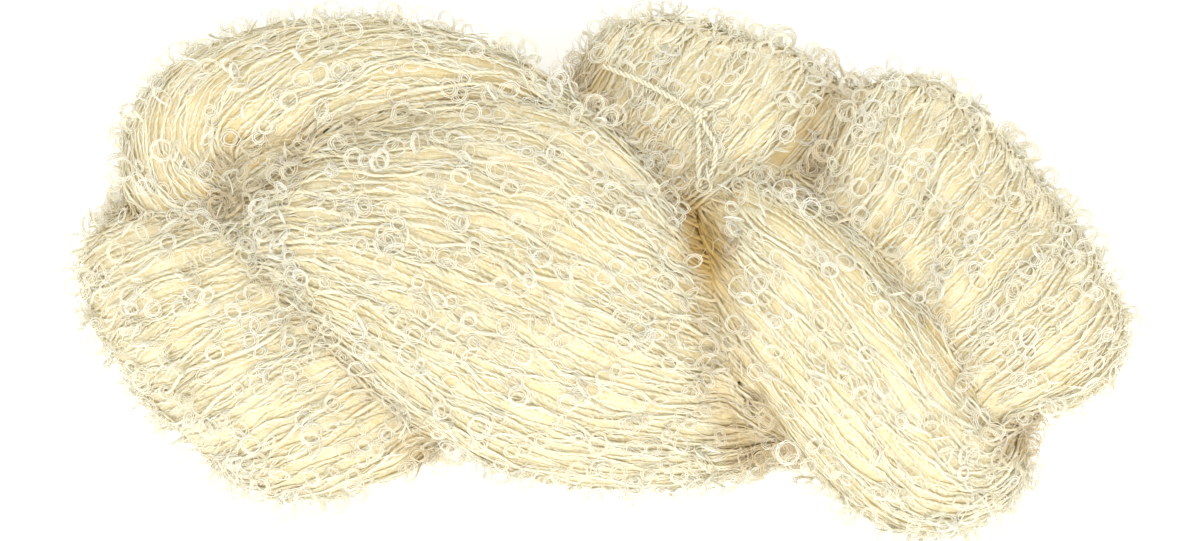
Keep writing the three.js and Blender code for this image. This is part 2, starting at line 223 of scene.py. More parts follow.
# The bundles of turns, as in the solid. squareness is 2 for an ellipse and more for fuller corners.
# winding is how far the turns have wound round the bundle, in degrees, at even steps along it.
BUNDLES = {
    "front_crossing": dict(squareness=2, winding=[0], sections=[
        section(-80, 7, 46, 3, 6, 40),
        section(-75.5, 8, 56, 11, 14, 20),
        section(-67, 8.5, 64, 21, 20, 4, -4),
        section(-53.5, 7, 69, 31, 24, -5, -5),
        section(-37, 3.5, 70, 39.5, 25.5, -9, -3),
        section(-18.5, -2, 69, 45, 26, -10, 3),
        section(0, -10, 65, 42, 25.5, -8, 9),
        section(14.5, -17, 58, 35.5, 24, 0, 13),
        section(24.5, -22.5, 49, 28, 21, 10, 15),
        section(31.5, -25, 41, 19, 16.5, 20, 16),
        section(36.5, -26.5, 36, 6.5, 8, 27, 10),
    ]),
    "shoulder": dict(squareness=2, winding=[130, 110, 85, 65, 45, 30, 15, 0, -5, -8, -10, -10], sections=[
        section(-79.5, 6, 44, 3, 5, 150),
        section(-86, 12, 52, 10, 11, 140, -6),
        section(-94.5, 20.5, 57, 16.5, 15, 115, -14),
        section(-94, 29, 59, 17.5, 16, 88, -20),
        section(-87, 35, 61, 19.5, 17, 60, -24),
        section(-75, 38.5, 64, 20, 18, 32, -28),
        section(-59.5, 41.5, 66, 18, 18, 8, -30),
        section(-42, 41.5, 67, 16, 17, -8, -32),
        section(-24.5, 38.5, 67, 12.5, 16, -22, -30),
        section(-9, 31, 66, 9, 13.5, -33, -28),
        section(4, 22.5, 64, 5, 10, -43, -20),
        section(14.5, 12.5, 61, 1.5, 4, -52),
    ]),
    "inner_shoulder": dict(squareness=2, winding=[0], sections=[
        section(-82, 9, 48, 4, 6, 110),
        section(-82, 18, 55, 8, 12, 85),
        section(-75, 25.5, 60, 10, 15, 40),
        section(-62, 28, 62, 10, 15, 6),
        section(-44, 27, 60, 9, 13, -10),
        section(-26, 23, 56, 5, 8, -18),
    ]),
    "left_end": dict(squareness=2.3, winding=[0], sections=[
        section(-30, -0.5, 44, 20.5, 13, 222),
        section(-40.5, -4.5, 49, 26.5, 16, 222),
        section(-50, -8, 53, 32.5, 18.5, 222),
        section(-60.5, -12, 56, 38, 20, 222),
        section(-71.5, -16, 57, 42.5, 20.5, 222),
        section(-81.5, -18, 55, 43.5, 20.5, 222),
        section(-87.5, -19.5, 48, 42.5, 20, 222),
        section(-90, -20, 38, 41.5, 20, 222),
        section(-87.5, -19.5, 26, 41, 20, 222),
        section(-78.5, -17.5, 19.5, 40, 20.5, 222),
        section(-65, -14, 19.5, 37, 20, 222),
        section(-49, -11.5, 20, 28, 17, 222),
    ]),
    "left_back": dict(squareness=2.2, winding=[0], sections=[
        section(-89.5, 2, 22, 9.5, 14, 140),
        section(-98, 15, 22, 15.5, 21, 115),
        section(-96.5, 29, 22.5, 13.5, 22.5, 85),
        section(-86.5, 38.5, 22.5, 14.5, 22.5, 50),
        section(-70, 43, 22.5, 14, 22.5, 16),
        section(-50, 43, 22.5, 13, 22, -4),
        section(-30, 38.5, 23, 11, 20.5, -16),
        section(-11.5, 30, 25, 8, 16, -26),
        section(1, 23.5, 26, 3.5, 8, -30),
    ]),
    "upper_lobe": dict(squareness=2.7, winding=[0, 70], sections=[
        section(-9.5, 1, 40, 9.5, 12, 50),
        section(0, 8, 45, 13.5, 16, 54),
        section(9.5, 17.5, 50, 19.5, 18.5, 60),
        section(18, 27, 52, 28.5, 19.5, 68),
        section(25, 35, 47, 33, 20.5, 72),
        section(27, 37, 37, 33.5, 20.5, 74),
        section(25.5, 35, 25, 33, 20.5, 72),
        section(20, 29, 19, 32, 20, 64),
        section(9.5, 17.5, 19, 28.5, 18, 52),
    ]),
    "small_crossing": dict(squareness=2.15, winding=[0, -60], sections=[
        section(27, 7, 47, 3.5, 7, -35),
        section(31.5, 8, 55, 12, 14, -38),
        section(37, 4, 62, 19, 19, -42),
        section(46, -7, 66, 23, 22.5, -48),
        section(56.5, -20, 67, 23.5, 23.5, -50, 4),
        section(65.5, -32, 63, 23, 23.5, -50, 8),
        section(74, -41.5, 55, 20.5, 21.5, -42, 8),
        section(82, -44.5, 45, 16.5, 19.5, -10, 6),
        section(88.5, -42, 36, 12, 17, 35),
        section(92.5, -37, 31, 7, 13, 75),
        section(93.5, -31, 29, 2.5, 6, 90),
    ]),
    "right_end": dict(squareness=2.8, winding=[0, -45], sections=[
        section(61.5, -16.5, 44, 18.5, 14, 36),
        section(67.5, -10.5, 52, 29, 18, 37),
        section(75.5, -3.5, 57, 38.5, 20.5, 38),
        section(83, 2.5, 55, 44, 21, 39),
        section(87, 5.5, 49, 45.5, 22, 39),
        section(88, 6.5, 38, 45, 22, 39),
        section(86, 5, 26, 44.5, 21.5, 39),
        section(78.5, -0.5, 19.5, 41, 20.5, 39),
        section(68.5, -9, 20, 30, 18.5, 40),
    ]),
    "under_crossing": dict(squareness=2.2, winding=[0], sections=[
        section(-62, -32, 20, 12, 14, 20),
        section(-46.5, -20, 21, 26, 21, 32),
        section(-28, -5, 21.5, 37, 23, 42),
        section(-9.5, 9, 21.5, 38, 23, 48),
        section(9, 21, 21, 30, 21, 46),
        section(20, 30, 21, 15, 14, 40),
    ]),
    "small_under_crossing": dict(squareness=2.2, winding=[0], sections=[
        section(18, -36, 21, 15, 14, 40),
        section(34, -27, 21, 27, 21, 44),
        section(51, -12, 21.5, 35, 23, 48),
        section(67.5, 4, 21.5, 33, 22.5, 48),
        section(82, 17, 21, 20, 17, 45),
    ]),
    "left_underside": dict(squareness=2.2, winding=[0], sections=[
        section(-97, 10, 20, 12, 12, 0),
        section(-82, 14, 21, 24, 19, 2),
        section(-60, 17, 21.5, 27, 21, 4),
        section(-38, 21, 21.5, 22, 20, 6),
        section(-18, 24, 21, 12, 14, 8),
    ]),
    "middle": dict(squareness=2.2, winding=[0], sections=[
        section(-96, -2, 40, 12, 10, 0),
        section(-72, -2, 43, 30, 20, 0),
        section(-40, -4, 42, 38, 24, 0),
        section(-8, -5, 40, 38, 22, 0),
        section(12, -8, 32, 34, 16, 0),
        section(28, -10, 27, 30, 14, 0),
        section(46, -10, 34, 28, 18, 0),
        section(68, -6, 40, 26, 21, 0),
        section(90, -2, 40, 12, 12, 0),
    ]),
}


# A line of yarn: its points in m, the way its section's thickness lies there, the way out of the hank
# there, its tints from 0, dark and warm, to 1, and how free of its neighbours it lies, from 0 to 1
Line = namedtuple("Line", "points over out tints free")


def unit(vectors):
    return vectors / np.maximum(np.linalg.norm(vectors, axis=-1, keepdims=True), 1e-12)


def lengths_along(points):
    """How far along a line each of its points lies"""
    return np.concatenate([[0], np.cumsum(np.linalg.norm(np.diff(points, axis=0), axis=1))])


def between(places, marks, rows):
    """Values of all columns of rows that stand at some marks, at places between those"""
    return np.stack([np.interp(places, marks, column) for column in rows.T], 1)


def along(rows, places):
    """Catmull-Rom values of all columns at places along the rows, from 0 to their last"""
    ends = np.vstack([2 * rows[0] - rows[1], rows, 2 * rows[-1] - rows[-2]])
    at = np.clip(places.astype(int), 0, len(rows) - 2)
    f = (places - at)[:, None]
    a, b, c, d = (ends[at + k] for k in range(4))
    bend = (-a + 3 * b - 3 * c + d) * f**3
    return 0.5 * (2 * b + (c - a) * f + (2 * a - 5 * b + 4 * c - d) * f**2 + bend)


def skin(bundle, places, angles, depth):
    """Points at a depth under a bundle's skin, in the tables' frame in mm, and the way out of it there"""
    rows = np.array(bundle["sections"], float)
    values = along(rows, places)
    before = along(rows, np.maximum(places - 0.05, 0))[:, :3]
    after = along(rows, np.minimum(places + 0.05, len(rows) - 1))[:, :3]
    faces = np.radians(values[:, 5])
    tip = np.radians(values[:, 6])
    side = np.stack([-np.sin(faces) * np.cos(tip), np.cos(faces) * np.cos(tip), np.sin(tip)], 1)
    up = unit(np.cross(unit(after - before), side))
    power = bundle["squareness"]
    cos, sin = np.cos(angles), np.sin(angles)
    across = np.sign(cos) * np.abs(cos) ** (2 / power)
    over = np.sign(sin) * np.abs(sin) ** (2 / power)
    wide = np.maximum(values[:, 3] - depth, LEAST_LEFT * values[:, 3])
    thick = np.maximum(values[:, 4] - depth, LEAST_LEFT * values[:, 4])
    points = values[:, :3] + side * (wide * across)[:, None] + up * (thick * over)[:, None]
    points[:, 2] -= PRESSED
    lean = np.sign(cos) * np.abs(across) ** (power - 1) / wide
    rise = np.sign(sin) * np.abs(over) ** (power - 1) / thick
    return points, unit(side * lean[:, None] + up * rise[:, None])


def footprint_middle():
    """Where the middle of the solid's footprint lies in the tables' frame"""
    low, high = np.full(2, np.inf), np.full(2, -np.inf)
    for bundle in BUNDLES.values():
        lengthways = np.linspace(0, len(bundle["sections"]) - 1, 200)
        places, angles = np.meshgrid(lengthways, np.linspace(0, 2 * np.pi, 97))
        points = skin(bundle, places.ravel(), angles.ravel(), 0)[0]
        low = np.minimum(low, points.min(0)[:2])
        high = np.maximum(high, points.max(0)[:2])
    return (low + high) / 2


FOOTPRINT = footprint_middle()


def to_frame(points):
    """From the tables' frame in mm to the part's frame in m"""
    moved = np.array(points, float)
    moved[:, :2] -= FOOTPRINT
    return moved * MM


def hank_tree():
    """The hank's own solid, to tell how deep a point lies in it"""
    bm = bmesh.new()
    bm.from_mesh(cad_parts["hank"].data)
    bmesh.ops.remove_doubles(bm, verts=bm.verts, dist=1e-6)
    tree = BVHTree.FromBMesh(bm)
    bm.free()
    return tree


HANK = hank_tree()


def height_over_hank(points):
    """Distance of each point from the solid's skin: above 0 outside it"""
    heights = np.empty(len(points))
    for i, point in enumerate(points):
        spot, normal, _, distance = HANK.find_nearest(point)
        outside = (Vector(point) - spot).dot(normal) > 0
        heights[i] = distance if outside else -distance
    return heights


def evened_form():
    """The hank's form on a grid that starts at EVENED_LOW, evened out: at each grid point the share of its
    surroundings that is full, and that share's slope"""
    high = np.array(cad_box[1]) + 3 * EVENED * MM
    counts = np.ceil((high - EVENED_LOW) / (GRID_STEP * MM)).astype(int)
    share = np.zeros(counts)
    floors = EVENED_LOW[2] + (np.arange(counts[2]) - 0.5) * GRID_STEP * MM
    for i, j in np.ndindex(counts[0], counts[1]):
        x, y = EVENED_LOW[:2] + np.array([i, j]) * GRID_STEP * MM
        start = Vector((x, y, high[2]))
        sign = 1
        while (hit := HANK.ray_cast(start, Vector((0, 0, -1)))[0]) is not None:
            share[i, j] += sign * np.clip((hit.z - floors) / (GRID_STEP * MM), 0, 1)
            sign = -sign
            start = hit - Vector((0, 0, 1e-5))
    share = np.clip(share, 0, 1)
    width = int(3 * EVENED / GRID_STEP)
    weights = np.exp(-((np.arange(-width, width + 1) * GRID_STEP / EVENED) ** 2) / 2)
    for axis in range(3):
        padded = np.pad(share, [(width, width) if k == axis else (0, 0) for k in range(3)])
        spots = np.arange(counts[axis])
        shifted = [weight * np.take(padded, spots + k, axis) for k, weight in enumerate(weights)]
        share = sum(shifted) / weights.sum()
    return np.stack([share, *np.gradient(share, GRID_STEP)], -1)


EVENED_LOW = np.array(cad_box[0]) - 3 * EVENED * MM
EVENED_FORM = evened_form()


def evened(points):
    """The share of each point's surroundings that is full, and that share's slope for each mm"""
    last = np.array(EVENED_FORM.shape[:3]) - 1.001
    places = np.clip((points - EVENED_LOW) / (GRID_STEP * MM), 0, last)
    first = places.astype(int)
    part = places - first
    total = np.zeros((len(points), 4))
    for corner in np.ndindex(2, 2, 2):
        i, j, k = (first + corner).T
        total += np.prod(np.where(corner, part, 1 - part), axis=1)[:, None] * EVENED_FORM[i, j, k]
    return total[:, 0], total[:, 1:]


def hole_nearness(points):
    """1 at the hole in the hank's middle, less around it"""
    away = points[:, :2] / MM + FOOTPRINT - HOLE_SPOT
    along_it = away @ HOLE_WAY / HOLE_LONG
    across_it = away @ (-HOLE_WAY[1], HOLE_WAY[0]) / HOLE_WIDE
    return np.exp(-(along_it**2) - across_it**2)


def filled(points, outs, depth):
    """Points moved out of the creases, to lie at their depth in mm under the evened form, with the way out
    there and how free they lie"""
    goal = 0.5 + depth / (EVENED * math.sqrt(2 * math.pi))
    moved = points.copy()
    for _ in range(FILL_STEPS):
        share, slope = evened(moved)
        steep = np.linalg.norm(slope, axis=1)
        far = np.clip((share - goal) / np.maximum(steep, 1e-3), 0, FILL_STRIDE)
        moved -= unit(slope) * far[:, None] * MM
    shift = moved - points
    length = np.linalg.norm(shift, axis=1) / MM
    most = FILL_MOST * (1 - HOLE_OPEN * hole_nearness(points))
    kept = np.minimum(1, most / np.maximum(length, 1e-6))
    share = np.clip(length * kept / FILL_TURNS_OUT, 0, 1)[:, None]
    moved = points + shift * kept[:, None]
    ways = unit((1 - share) * outs - share * unit(slope))
    # painted shade: yarn moved out of a crease counts as less free, so its colour is made darker
    shaded = FILL_SHADE * np.clip(length / FILL_SHADE_REACH, 0, 1)
    return moved, ways, freedom(moved, ways) * (1 - shaded)


def freedom(points, outs):
    """How free each point lies, from 0 in a deep crease to 1 on an open round"""
    side = unit(np.cross(outs, [0.31, 0.42, 0.85]))
    over = np.cross(outs, side)
    starts = points + outs * (BODY_DEPTH + LOOKS_FROM) * MM
    free = np.zeros(len(points))
    for turn in np.arange(LOOKS_ROUND) * math.pi / (LOOKS_ROUND / 2):
        ways = 0.6 * outs + 0.8 * (side * math.cos(turn) + over * math.sin(turn))
        for i, (start, way) in enumerate(zip(starts, ways)):
            free[i] += HANK.ray_cast(start, way, CREASE_REACH * MM)[0] is None
    # the hole's painted shade lowers the freedom there too
    return free / LOOKS_ROUND * (1 - HOLE_SHADE * hole_nearness(points))


def widest_round(bundle, depth):
    """Place of a bundle's widest section, the length round it there in mm and the angle at each length"""
    rows = np.array(bundle["sections"], float)
    widest = float(np.argmax(rows[:, 3] + rows[:, 4]))
    angles = np.linspace(0, 2 * np.pi, 721)
    outline = skin(bundle, np.full(721, widest), angles, depth)[0]
    return widest, lengths_along(outline), angles


def wound_round(bundle, places, widest):
    """How far a bundle's turns have wound round it at some places, as a share of a round, counted from its
    widest section on"""
    steps = np.linspace(0, len(bundle["sections"]) - 1, len(bundle["winding"]))
    wound = np.interp(places, steps, bundle["winding"]) - np.interp(widest, steps, bundle["winding"])
    return wound / 360


def over_ends(bundle, line, out):
    """A turn that goes on over the bundle's two ends, part of the way to their middles"""
    middles = to_frame(np.array(bundle["sections"], float)[:, :3] - [0, 0, PRESSED])
    lines, outs = [line], [out]
    for end, before, edge in ((middles[0], middles[1], line[0]), (middles[-1], middles[-2], line[-1])):
        way = unit(end - before)
        left = np.linspace(END_FROM, draw.uniform(*END_TO), END_STEPS)[:, None]
        lines.append(end + (edge - end) * left + way * END_LIFT * MM)
        outs.append(np.tile(way, (END_STEPS, 1)))
    return np.vstack([lines[1][::-1], line, lines[2]]), np.vstack([outs[1][::-1], out, outs[2]])


def turn_lines(bundle, layer):
    """The turns of one layer of a bundle: for each, its points in the part's frame, the way out there and
    how far along the turn they lie"""
    last = len(bundle["sections"]) - 1
    widest, lengths, angles = widest_round(bundle, layer["depth"])
    count = int(lengths[-1] / layer["pitch"])
    spots = (np.arange(count) + 0.5 * draw.uniform(-1, 1, count)) * lengths[-1] / count
    samples = 24 * last
    places = np.tile(np.linspace(0, last, samples), count)
    skews = np.repeat(draw.normal(0, layer["skew"], count), samples) / 360
    wound = wound_round(bundle, places, widest) + skews * (places - widest) / last
    around = (np.repeat(spots, samples) + wound * lengths[-1]) % lengths[-1]
    points, outward = skin(bundle, places, np.interp(around, lengths, angles), layer["depth"])
    points = to_frame(points).reshape(count, samples, 3)
    outward = outward.reshape(count, samples, 3)
    lines = []
    for line, out in zip(points, outward):
        line, out = over_ends(bundle, line, out)
        reach = lengths_along(line)
        stops = np.arange(draw.uniform(0, TURN_STEP * MM), reach[-1], TURN_STEP * MM)
        if len(stops) < LEAST_SECTIONS:
            continue
        lines.append((between(stops, reach, line), unit(between(stops, reach, out)), stops))
    return lines


def wander(line, out, stops, layer):
    """A turn that strays a little, as loosely wound yarn does, and how far it sinks in at each point in mm"""
    onward = unit(np.gradient(line, axis=0))
    aside = unit(np.cross(out, onward))
    waves = draw.uniform(0, 2 * np.pi, 4)
    lengths = draw.uniform(0.7, 1.4, 4) * np.array(STRAY_WAVES) * MM
    wave = np.sin(2 * np.pi * stops[:, None] / lengths + waves)
    shift = (0.8 * wave[:, 0] + 0.2 * wave[:, 1]) * layer["sideways"]
    sink = (0.6 * wave[:, 2] + 0.4 * wave[:, 3] + draw.uniform(-1, 1)) * layer["inward"]
    return line + (aside * shift[:, None] - out * sink[:, None]) * MM, sink


def kept_runs(keep):
    """First and last + 1 of each stretch of True values that is long enough to be drawn"""
    edges = np.flatnonzero(np.diff(np.concatenate([[0], keep.astype(int), [0]])))
    return [(a, b) for a, b in zip(edges[::2], edges[1::2]) if b - a >= LEAST_SECTIONS]


def laid_turns(bundle, layer):
    """The stretches of a layer's turns that lie near the skein's skin, as lines for tube_mesh"""
    lowest = TURN_THICK / 2 * MM
    wandered, outs = [], []
    for line, out, stops in turn_lines(bundle, layer):
        wandered.append(wander(line, out, stops, layer))
        outs.append(out)
    heights = height_over_hank(np.concatenate([line for line, _ in wandered]))
    found = []
    at = 0
    for (line, sink), out in zip(wandered, outs):
        keep = heights[at:at + len(line)] > -(layer["depth"] + UNSEEN) * MM
        at += len(line)
        steps = np.arange(len(line)) * TURN_STEP
        wave = np.sin(2 * np.pi * (steps / draw.uniform(*TINT_WAVE) + draw.uniform(0, 1)))
        # painted shade: a turn is coloured darker where it sinks deeper into the mass
        tint = draw.uniform(*layer["tint"]) + TINT_SWING * wave - layer["painted_sink_shade"] * sink
        for a, b in kept_runs(keep):
            points, ways, free = filled(line[a:b], out[a:b], layer["depth"])
            points[:, 2] = np.maximum(points[:, 2], lowest)
            found.append(Line(points, ways, ways, tint[a:b], free))
    return found


def placed(name, data):
    """A new object in the scene, at the origin"""
    made = bpy.data.objects.new(name, data)
    bpy.context.scene.collection.objects.link(made)
    return made


def shade(mesh, tints, free):
    """Smooth shading, with the attributes that the yarn's materials read"""
    # closed_in is read by the materials for their painted crease shade
    for name, values in (("tint", tints), ("closed_in", 1 - free)):
        attribute = mesh.attributes.new(name, "FLOAT", "POINT")
        attribute.data.foreach_set("value", values.astype(np.float32))
    mesh.shade_smooth()


def tube_mesh(name, lines, sides, wide, thick, soften=0):
    """One closed tube along each line, with oval sections.

    soften is how far the normals of the outer corners lean out of the hank, which gives the soft shading of
    fibres that let the light through. The inner corners are then shaded as flat flanks. The UV map's U is
    metres along the line and its V goes once round it."""
    counts = np.array([len(line.points) for line in lines])
    points, over, outs, tints, free = (np.concatenate(values) for values in zip(*lines))
    firsts = np.concatenate([[0], np.cumsum(counts)[:-1]])
    lasts = firsts + counts - 1
    total = len(points)
    ahead = np.arange(total) + 1
    ahead[lasts] = lasts
    behind = np.arange(total) - 1
    behind[firsts] = firsts
    onward = unit(points[ahead] - points[behind])
    aside = unit(np.cross(over, onward))
    over = np.cross(onward, aside)
    reach = np.cumsum(np.linalg.norm(points - points[behind], axis=1))
    reach -= np.repeat(reach[firsts], counts)
    angles = 2 * np.pi * np.arange(sides) / sides - np.pi / 2
    x = np.cos(angles) * np.broadcast_to(wide, total)[:, None] / 2 * MM
    y = np.sin(angles) * np.broadcast_to(thick, total)[:, None] / 2 * MM
    spokes = aside[:, None] * x[..., None] + over[:, None] * y[..., None]
    corners = points[:, None] + spokes
    i = np.delete(np.arange(total), lasts)[:, None]
    k = np.arange(sides)[None]
    n = (k + 1) % sides
    quads = np.stack([i * sides + k, i * sides + n, (i + 1) * sides + n, (i + 1) * sides + k], -1)
    quads = quads.reshape(-1, 4)
    start_caps = firsts[:, None] * sides + np.arange(sides)[::-1]
    end_caps = lasts[:, None] * sides + np.arange(sides)
    mesh = bpy.data.meshes.new(name)
    faces = quads.tolist() + start_caps.tolist() + end_caps.tolist()
    mesh.from_pydata(corners.reshape(-1, 3), [], faces)
    nearer = np.broadcast_to(reach[i], (len(i), sides))
    further = np.broadcast_to(reach[i + 1], (len(i), sides))
    u = np.stack([nearer, nearer, further, further], -1)
    v = np.broadcast_to(np.stack([k, k + 1, k + 1, k], -1) / sides, u.shape)
    side_uv = np.stack([u, v], -1).reshape(-1, 2)
    cap_u = np.concatenate([np.zeros(len(lines) * sides), np.repeat(reach[lasts], sides)])
    cap_uv = np.stack([cap_u, np.tile(np.arange(sides) / sides, 2 * len(lines))], 1)
    layer = mesh.uv_layers.new(name="yarn")
    layer.data.foreach_set("uv", np.concatenate([side_uv, cap_uv]).astype(np.float32).ravel())
    shade(mesh, np.repeat(tints, sides), np.repeat(free, sides))
    if soften:
        ways = unit(spokes)
        outward = np.clip((ways * over[:, None]).sum(-1, keepdims=True) * 2, 0, 1)
        normals = unit((1 - soften * outward) * ways + soften * outward * outs[:, None]).reshape(-1, 3)
        corner_ways = ways.reshape(-1, 3)[quads]
        flanks = unit(corner_ways + corner_ways[:, [1, 0, 3, 2]])
        inner = (outward.reshape(-1, 1) == 0)[quads]
        side_normals = np.where(inner, flanks, normals[quads]).reshape(-1, 3)
        cap_normals = normals[np.concatenate([start_caps, end_caps]).ravel()]
        mesh.normals_split_custom_set(np.concatenate([side_normals, cap_normals]).astype(np.float32))
    return placed(name, mesh)


def ring_line(spot, away, axis, out, free, wide, turns, band):
    """One ring of boucle yarn that starts at a spot of its turn and winds inward from its outer size"""
    steps = int(turns * RING_STEPS_A_TURN) + 1
    turn = np.linspace(0, 1, steps)
    angle = 2 * np.pi * turns * turn
    across = np.cross(axis, away) * draw.uniform(*RING_OVAL)
    outer = (wide - RING_YARN) / 2
    wound_in = turn + draw.uniform(-RING_UNEVEN, RING_UNEVEN, steps)
    radius = (outer - (band - RING_YARN) * wound_in)[:, None] * MM
    around = away * (outer * MM - np.cos(angle)[:, None] * radius) + across * np.sin(angle)[:, None] * radius
    line = spot + around + axis * (turn * draw.uniform(*RING_RISE) * MM)[:, None]
    line[:, 2] = np.maximum(line[:, 2], RING_YARN * 0.6 * MM)
    tints = np.full(steps, draw.uniform(0, 1))
    return Line(line, np.tile(axis, (steps, 1)), np.tile(out, (steps, 1)), tints, np.full(steps, free))


def ring_lines(turns):
    """Rings on the turns, most of them lying on the skein and the others standing up from it"""
    lines = []
    for points, _, out, _, free in turns:
        at = draw.uniform(0, RING_SPACING)
        while at < (len(points) - 1) * TURN_STEP:
            i = min(int(at / TURN_STEP), len(points) - 2)
            on_side = abs(out[i][2]) < 0.5
            crowding = SIDE_CROWDING if on_side else UNDERSIDE_THINNING if out[i][2] < 0 else 1
            at += RING_SPACING * draw.gamma(3, 1 / 3) * crowding
            if draw.uniform(0, 1) > (free[i] - RINGS_FROM) / (RINGS_FULL - RINGS_FROM):
                continue
            on = unit(points[i + 1] - points[i])
            aside = unit(np.cross(out[i], on)) * draw.choice([-1, 1])
            skew = draw.normal(0, RING_SKEW)
            flat = aside * math.cos(skew) + on * math.sin(skew)
            stands = draw.uniform(0, 1) < RINGS_STANDING
            lift = draw.uniform(*STANDING_LIFT) if stands else abs(draw.normal(*LYING_LIFT))
            away = unit(flat * math.cos(lift) + out[i] * math.sin(lift))
            axis = unit(out[i] * math.cos(lift) - flat * math.sin(lift))
            roll = draw.normal(0, RING_ROLL)
            axis = axis * math.cos(roll) + np.cross(axis, away) * math.sin(roll)
            if stands and on_side and draw.uniform(0, 1) < RINGS_SPREAD_OUT:
                away = unit(out[i] * [1, 1, 0] + 0.4 * flat * [1, 1, 0])
                upright = [draw.normal(0, RING_ROLL), draw.normal(0, RING_ROLL), 1]
                axis = unit(np.cross(away, np.cross(upright, away)))
            spot = points[i] + out[i] * RING_SEAT * MM
            turns_of_ring = draw.uniform(*RING_TURNS)
            wide = draw.uniform(*RING_WIDE)
            band = draw.uniform(*RING_BAND)
            lines.append(ring_line(spot, away, axis, out[i], free[i], wide, turns_of_ring, band))
    return lines


def wisp_lines(turns, count):
    """Loose curly locks of a few fibres each, that lie along the turns and over the gaps between them"""
    longer = WISP_POINTS * WISP_STEP
    long_turns = [turn for turn in turns if (len(turn.points) - 1) * TURN_STEP > longer]
    chances = np.array([len(turn.points) * (turn.free.mean() + 0.1) for turn in long_turns])
    wisps = []
    for j in draw.choice(len(long_turns), count, p=chances / chances.sum()):
        turn = long_turns[j]
        first = draw.uniform(0, len(turn.points) - 1 - (WISP_POINTS - 1) * WISP_STEP / TURN_STEP)
        at = first + np.arange(WISP_POINTS) * WISP_STEP / TURN_STEP
        marks = np.arange(len(turn.points))
        line, out = between(at, marks, turn.points), between(at, marks, turn.out)
        aside = unit(np.cross(out, np.gradient(line, axis=0)))
        turned = np.arange(WISP_POINTS) * WISP_STEP / draw.uniform(*WISP_CURLS) * 2 * np.pi
        turned = turned + draw.uniform(0, 2 * np.pi)
        strays = draw.normal(0, WISP_STRAYS) + draw.uniform(*WISP_SWINGS) * np.sin(turned)
        rises = draw.uniform(*WISP_HEIGHTS) + draw.uniform(*WISP_RISES) * np.cos(turned)
        line = line + (aside * strays[:, None] + out * rises[:, None]) * MM
        line[:, 2] = np.maximum(line[:, 2], WISP_THICK * MM)
        free = np.interp(at, marks, turn.free)
        wisps.append(Line(line, out, out, np.full(WISP_POINTS, draw.uniform(0, 1)), free))
    return wisps


def hair_lines(lines, count):
    """Fine hairs that stand off the turns and the rings in soft bends"""
    points = np.concatenate([line.points[1:] for line in lines])
    ways_out = np.concatenate([line.out[1:] for line in lines])
    ways_on = np.concatenate([np.diff(line.points, axis=0) for line in lines])
    free = np.concatenate([line.free[1:] for line in lines])
    picked = draw.integers(0, len(points), 3 * count)
    chance = np.clip((free[picked] - HAIRS_FROM) / (HAIRS_FULL - HAIRS_FROM), 0, 1)
    chance *= np.where(ways_out[picked, 2] > -0.5, 1, 1 / UNDERSIDE_THINNING)
    picked = picked[draw.uniform(0, 1, 3 * count) < chance][:count]
    count = len(picked)
    spot, out, on = points[picked], unit(ways_out[picked]), unit(ways_on[picked])
    on *= draw.choice([-1, 1], (count, 1))
    start = unit(out * draw.uniform(*HAIR_OUT, (count, 1)) + on * draw.uniform(*HAIR_ON, (count, 1))
                 + draw.normal(0, HAIR_STRAY, (count, 3)))
    bend = unit(np.cross(start, draw.normal(0, 1, (count, 3))))
    length = draw.uniform(*HAIR_LENGTH, count) * MM
    curl = draw.uniform(*HAIR_CURL, count)
    tint = draw.uniform(0, 1, count)
    free = free[picked]
    t = np.linspace(0, 1, HAIR_POINTS)[:, None]
    hairs = []
    for j in range(count):
        go = start[j] * np.sin(curl[j] * t) + bend[j] * (1 - np.cos(curl[j] * t))
        line = spot[j] + go * (length[j] / curl[j])
        line[:, 2] = np.maximum(line[:, 2], HAIR_THICK * MM)
        sideways = np.tile(np.cross(start[j], bend[j]), (HAIR_POINTS, 1))
        outs = np.tile(out[j], (HAIR_POINTS, 1))
        tints, frees = np.full(HAIR_POINTS, tint[j]), np.full(HAIR_POINTS, free[j])
        hairs.append(Line(line, sideways, outs, tints, frees))
    return hairs


def bundle_body(name):
    """The dense yarn inside a bundle: a cylinder laid into its form. Its UV map is in metres, U along it."""
    bundle = BUNDLES[name]
    last = len(bundle["sections"]) - 1
    middles = np.array(bundle["sections"], float)[:, :3]
    lengths = lengths_along(middles)
    widest, around, angles = widest_round(bundle, BODY_DEPTH)
    bm = bmesh.new()
    segments = int(around[-1] / BODY_FACE)
    bmesh.ops.create_cone(bm, cap_ends=True, segments=segments, radius1=1, radius2=1, depth=1)
    long_edges = [edge for edge in bm.edges if abs(edge.verts[0].co.z - edge.verts[1].co.z) > 0.5]
    cuts = int(lengths[-1] / BODY_FACE)
    bmesh.ops.subdivide_edges(bm, edges=long_edges, cuts=cuts, use_grid_fill=True)
    layer = bm.loops.layers.uv.new("yarn")
    for face in bm.faces:
        turns = [math.atan2(loop.vert.co.y, loop.vert.co.x) % (2 * math.pi) for loop in face.loops]
        for loop, turn in zip(face.loops, turns):
            place = (loop.vert.co.z + 0.5) * last
            over_seam = max(turns) - turn > math.pi and len(turns) == 4
            reach = np.interp(turn, angles, around) + (around[-1] if over_seam else 0)
            wound = reach - wound_round(bundle, place, widest) * around[-1]
            loop[layer].uv = (np.interp(place, range(last + 1), lengths) * MM, wound * MM)
    corners = np.array([vert.co for vert in bm.verts])
    places = (corners[:, 2] + 0.5) * last
    turns = np.arctan2(corners[:, 1], corners[:, 0])
    points = to_frame(skin(bundle, places, turns, BODY_DEPTH)[0])
    points[:, 2] = np.maximum(points[:, 2], BODY_REST * MM)
    for vert, point in zip(bm.verts, points):
        vert.co = point
    bmesh.ops.recalc_face_normals(bm, faces=bm.faces)
    mesh = bpy.data.meshes.new("body_of_" + name)
    bm.to_mesh(mesh)
    bm.free()
    return placed("body_of_" + name, mesh)


